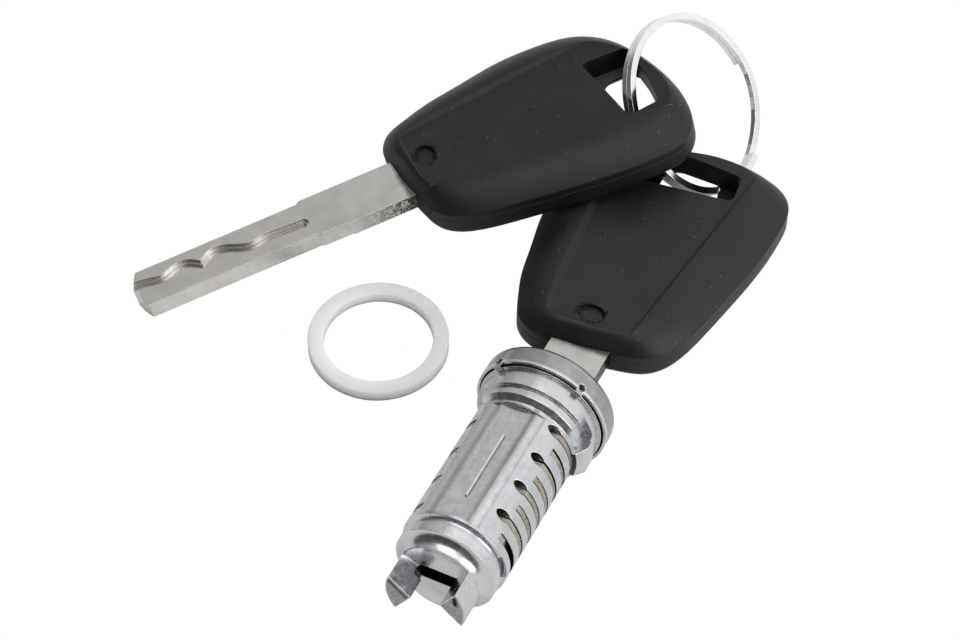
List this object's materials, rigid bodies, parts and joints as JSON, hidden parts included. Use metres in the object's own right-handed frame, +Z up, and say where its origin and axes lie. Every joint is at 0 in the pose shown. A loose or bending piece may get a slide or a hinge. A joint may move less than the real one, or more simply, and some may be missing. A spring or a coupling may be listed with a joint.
{
  "type": "door lock cylinder with keys",
  "caption": "Wafer lock plug for a vehicle door with its key in place, a spare key on a shared split ring, and a plain sealing washer beside them.",
  "frame": {"origin": "on the lock's axis at the back rim of the face cap, where it seats", "axes": "+X level, towards the lock's tail, with the lock's axis nose-down by 3 degrees from it; +Z up from the surface it lies on; +Y towards the spring side of the first wafer"},
  "size_m": [0.1179, 0.0881, 0.023],
  "materials": {
    "zinc": "as-cast zinc alloy, light grey, slightly mottled",
    "cap_steel": "satin plated steel",
    "spring_steel": "drawn wire",
    "shutter_steel": "stamped steel",
    "wafer_brass": "stamped, dull",
    "blade_nickel": "nickel plated, milled track",
    "bow_plastic": "fine matt black with light scratches",
    "ring_nickel": "bright nickel plate",
    "washer_plastic": "milky natural plastic"
  },
  "bodies": {
    "plug": {"plug_core": "zinc", "face_cap": "cap_steel", "shutter_pin": "shutter_steel", "shutter_spring": "spring_steel", "wafer_spring_1": "spring_steel", "wafer_spring_2": "spring_steel", "wafer_spring_3": "spring_steel", "wafer_spring_4": "spring_steel", "wafer_spring_5": "spring_steel", "wafer_spring_6": "spring_steel", "wafer_spring_7": "spring_steel", "wafer_spring_8": "spring_steel", "washer": "washer_plastic"},
    "key": {"key_blade": "blade_nickel", "key_bow_upper": "bow_plastic", "key_bow_lower": "bow_plastic", "spare_key_blade": "blade_nickel", "spare_key_bow_upper": "bow_plastic", "spare_key_bow_lower": "bow_plastic"},
    "ring": {"split_ring": "ring_nickel"},
    "shutter": {"shutter": "shutter_steel"},
    "wafer_1": {"wafer_1": "wafer_brass"},
    "wafer_2": {"wafer_2": "wafer_brass"},
    "wafer_3": {"wafer_3": "wafer_brass"},
    "wafer_4": {"wafer_4": "wafer_brass"},
    "wafer_5": {"wafer_5": "wafer_brass"},
    "wafer_6": {"wafer_6": "wafer_brass"},
    "wafer_7": {"wafer_7": "wafer_brass"},
    "wafer_8": {"wafer_8": "wafer_brass"}
  },
  "joints": [
    {"name": "key_slide", "type": "slide", "parent": "plug", "child": "key", "axis": [-0.9986, 0, -0.0523], "range_m": [0, 0.045]},
    {"name": "ring_turn", "type": "hinge", "parent": "key", "child": "ring", "pos_m": [-0.06492, -0.00399, 0.00119], "axis": [0.0006, 0.7312, 0.6821], "continuous": true},
    {"name": "shutter_swing", "type": "hinge", "parent": "plug", "child": "shutter", "pos_m": [-0.00275, 0, 0.00286], "axis": [0, -1, 0], "range_deg": [0, 20], "stiffness_Nm_per_rad": 0.00001, "springref_deg": -80.21, "deforming": ["shutter_spring"]},
    {"name": "wafer_1_slide", "type": "slide", "parent": "plug", "child": "wafer_1", "axis": [0, 1, 0], "range_m": [0, 0.000701], "deforming": ["wafer_spring_1"]},
    {"name": "wafer_2_slide", "type": "slide", "parent": "plug", "child": "wafer_2", "axis": [0, -1, 0], "range_m": [0, 0.000701], "deforming": ["wafer_spring_2"]},
    {"name": "wafer_3_slide", "type": "slide", "parent": "plug", "child": "wafer_3", "axis": [0, 1, 0], "range_m": [0, 0.000701], "deforming": ["wafer_spring_3"]},
    {"name": "wafer_4_slide", "type": "slide", "parent": "plug", "child": "wafer_4", "axis": [0, -1, 0], "range_m": [0, 0.000701], "deforming": ["wafer_spring_4"]},
    {"name": "wafer_5_slide", "type": "slide", "parent": "plug", "child": "wafer_5", "axis": [0, 1, 0], "range_m": [0, 0.000701], "deforming": ["wafer_spring_5"]},
    {"name": "wafer_6_slide", "type": "slide", "parent": "plug", "child": "wafer_6", "axis": [0, -1, 0], "range_m": [0, 0.000701], "deforming": ["wafer_spring_6"]},
    {"name": "wafer_7_slide", "type": "slide", "parent": "plug", "child": "wafer_7", "axis": [0, 1, 0], "range_m": [0, 0.000701], "deforming": ["wafer_spring_7"]},
    {"name": "wafer_8_slide", "type": "slide", "parent": "plug", "child": "wafer_8", "axis": [0, -1, 0], "range_m": [0, 0.000701], "deforming": ["wafer_spring_8"]}
  ],
  "couplings": [
    {"joint": "wafer_1_slide", "follows": "key_slide", "ratio": 0.015556},
    {"joint": "wafer_2_slide", "follows": "key_slide", "ratio": 0.015556},
    {"joint": "wafer_3_slide", "follows": "key_slide", "ratio": 0.015556},
    {"joint": "wafer_4_slide", "follows": "key_slide", "ratio": 0.015556},
    {"joint": "wafer_5_slide", "follows": "key_slide", "ratio": 0.015556},
    {"joint": "wafer_6_slide", "follows": "key_slide", "ratio": 0.015556},
    {"joint": "wafer_7_slide", "follows": "key_slide", "ratio": 0.015556},
    {"joint": "wafer_8_slide", "follows": "key_slide", "ratio": 0.015556}
  ]
}
